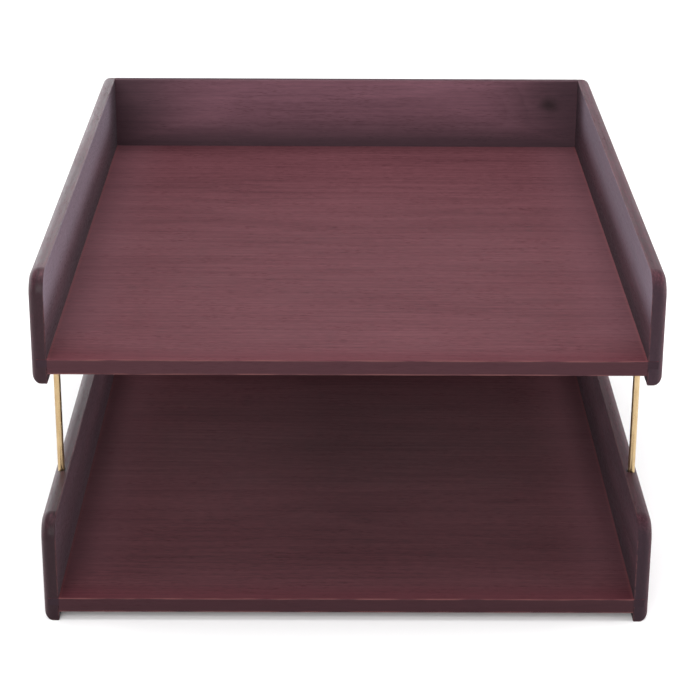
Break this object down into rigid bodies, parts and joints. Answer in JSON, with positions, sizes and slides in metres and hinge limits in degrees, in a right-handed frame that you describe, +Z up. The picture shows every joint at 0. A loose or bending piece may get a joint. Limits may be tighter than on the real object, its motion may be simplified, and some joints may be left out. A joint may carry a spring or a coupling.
{
  "type": "letter tray",
  "caption": "Open-front wooden desk trays for letter sheets and folders, one held over the other on slim round brass posts, so that the upper tray lifts straight off.",
  "frame": {"origin": "middle of the footprint, on the surface that the lower tray stands on", "axes": "+X to the right across the tray as seen from its open front, +Y from the open front to the back rail, +Z up"},
  "size_m": [0.258, 0.311, 0.1565],
  "materials": {
    "board_wood": "dark mahogany stain under satin lacquer",
    "floor_wood": "redder mahogany stain under satin lacquer",
    "post_brass": "polished, pale gold",
    "brad_steel": "bright drawn wire"
  },
  "bodies": {
    "lower_tray": {"lower_left_side": "board_wood", "lower_right_side": "board_wood", "lower_back_rail": "board_wood", "lower_floor_panel": "floor_wood", "lower_left_brad_low": "brad_steel", "lower_left_brad_high": "brad_steel", "lower_right_brad_low": "brad_steel", "lower_right_brad_high": "brad_steel", "front_left_post": "post_brass", "front_right_post": "post_brass", "rear_left_post": "post_brass", "rear_right_post": "post_brass"},
    "upper_tray": {"upper_left_side": "board_wood", "upper_right_side": "board_wood", "upper_back_rail": "board_wood", "upper_floor_panel": "floor_wood", "upper_left_brad_low": "brad_steel", "upper_left_brad_high": "brad_steel", "upper_right_brad_low": "brad_steel", "upper_right_brad_high": "brad_steel"}
  },
  "joints": [
    {"name": "upper_tray_lift", "type": "slide", "parent": "lower_tray", "child": "upper_tray", "axis": [0, 0, 1], "range_m": [0, 0.03]}
  ]
}
